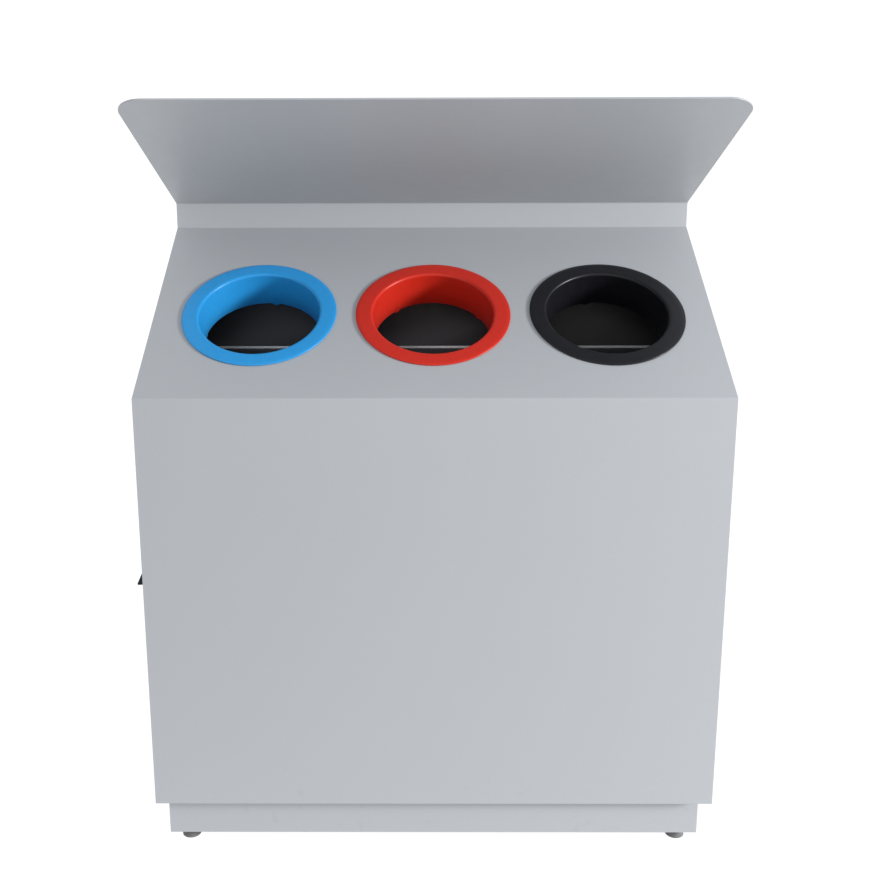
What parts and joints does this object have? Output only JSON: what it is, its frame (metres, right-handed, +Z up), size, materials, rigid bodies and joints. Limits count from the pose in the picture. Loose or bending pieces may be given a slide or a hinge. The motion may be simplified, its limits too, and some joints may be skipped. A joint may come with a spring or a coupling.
{
  "type": "recycling bin station",
  "caption": "Sheet-steel recycling station with round colour-coded openings in a sloped deck, a canopy, a side door and levelling feet.",
  "frame": {"origin": "centre of the bounding box's footprint, on the floor", "axes": "+Z up, -Y is the front face, +X is the right-hand side seen from the front, so the door and its lock are on -X"},
  "size_m": [1.026, 0.4138, 1.3051],
  "materials": {
    "grey_paint": "light grey powder coat, satin, fine texture",
    "blue_plastic": "satin moulded plastic",
    "red_plastic": "satin moulded plastic",
    "black_plastic": "satin moulded plastic",
    "liner_plastic": "moulded plastic",
    "foot_plastic": "moulded rubber pad",
    "inner_coat": "dark grey powder coat, satin",
    "hoop_coat": "pale plastic coating on a steel bar",
    "zinc": "zinc plated",
    "rubber": "matt rubber"
  },
  "bodies": {
    "cabinet": {"front_shell": "grey_paint", "canopy": "grey_paint", "right_side_panel": "grey_paint", "rear_panel": "grey_paint", "base_tray": "inner_coat", "plinth_frame": "grey_paint", "front_left_post": "inner_coat", "front_right_post": "inner_coat", "rear_left_post": "inner_coat", "rear_right_post": "inner_coat", "collar_blue": "blue_plastic", "collar_red": "red_plastic", "collar_black": "black_plastic", "clamp_ring_blue": "zinc", "clamp_ring_red": "zinc", "clamp_ring_black": "zinc", "guide_rail_front": "zinc", "guide_rail_rear": "zinc", "bin_stop_left": "zinc", "bin_stop_right": "zinc", "foot_plate_front_left": "zinc", "foot_plate_front_right": "zinc", "foot_plate_rear_left": "zinc", "foot_plate_rear_right": "zinc", "jam_nut_front_left": "zinc", "jam_nut_front_right": "zinc", "jam_nut_rear_left": "zinc", "jam_nut_rear_right": "zinc", "hinge_frame_leaf_lower": "zinc", "hinge_frame_leaf_upper": "zinc", "hinge_pin_lower": "zinc", "hinge_pin_upper": "zinc", "strike_plate": "zinc", "door_bumper_lower": "rubber", "door_bumper_upper": "rubber"},
    "door": {"side_door": "grey_paint", "door_stiffener": "inner_coat", "hinge_door_leaf_lower": "zinc", "hinge_door_leaf_upper": "zinc", "lock_body": "black_plastic", "lock_back_nut": "zinc"},
    "lock": {"lock_lever": "black_plastic", "lock_cam": "zinc", "cam_screw": "zinc"},
    "liner_blue": {"bin_blue": "liner_plastic", "bag_hoop_blue": "hoop_coat"},
    "liner_red": {"bin_red": "liner_plastic", "bag_hoop_red": "hoop_coat"},
    "liner_black": {"bin_black": "liner_plastic", "bag_hoop_black": "hoop_coat"},
    "foot_front_left": {"levelling_foot_front_left": "foot_plastic"},
    "foot_front_right": {"levelling_foot_front_right": "foot_plastic"},
    "foot_rear_left": {"levelling_foot_rear_left": "foot_plastic"},
    "foot_rear_right": {"levelling_foot_rear_right": "foot_plastic"}
  },
  "joints": [
    {"name": "side_door_hinge", "type": "hinge", "parent": "cabinet", "child": "door", "pos_m": [-0.4923, 0.173, 0.5], "axis": [0, 0, -1], "range_deg": [0, 120]},
    {"name": "door_lock_turn", "type": "hinge", "parent": "door", "child": "lock", "pos_m": [-0.487, -0.12165, 0.526], "axis": [1, 0, 0], "range_deg": [0, 90]},
    {"name": "liner_blue_lift", "type": "slide", "parent": "cabinet", "child": "liner_blue", "axis": [0, 0, 1], "range_m": [0, 0.035]},
    {"name": "liner_red_lift", "type": "slide", "parent": "cabinet", "child": "liner_red", "axis": [0, 0, 1], "range_m": [0, 0.035]},
    {"name": "liner_black_lift", "type": "slide", "parent": "cabinet", "child": "liner_black", "axis": [0, 0, 1], "range_m": [0, 0.035]},
    {"name": "foot_front_left_level", "type": "slide", "parent": "cabinet", "child": "foot_front_left", "axis": [0, 0, -1], "range_m": [0, 0.012]},
    {"name": "foot_front_right_level", "type": "slide", "parent": "cabinet", "child": "foot_front_right", "axis": [0, 0, -1], "range_m": [0, 0.012]},
    {"name": "foot_rear_left_level", "type": "slide", "parent": "cabinet", "child": "foot_rear_left", "axis": [0, 0, -1], "range_m": [0, 0.012]},
    {"name": "foot_rear_right_level", "type": "slide", "parent": "cabinet", "child": "foot_rear_right", "axis": [0, 0, -1], "range_m": [0, 0.012]}
  ]
}
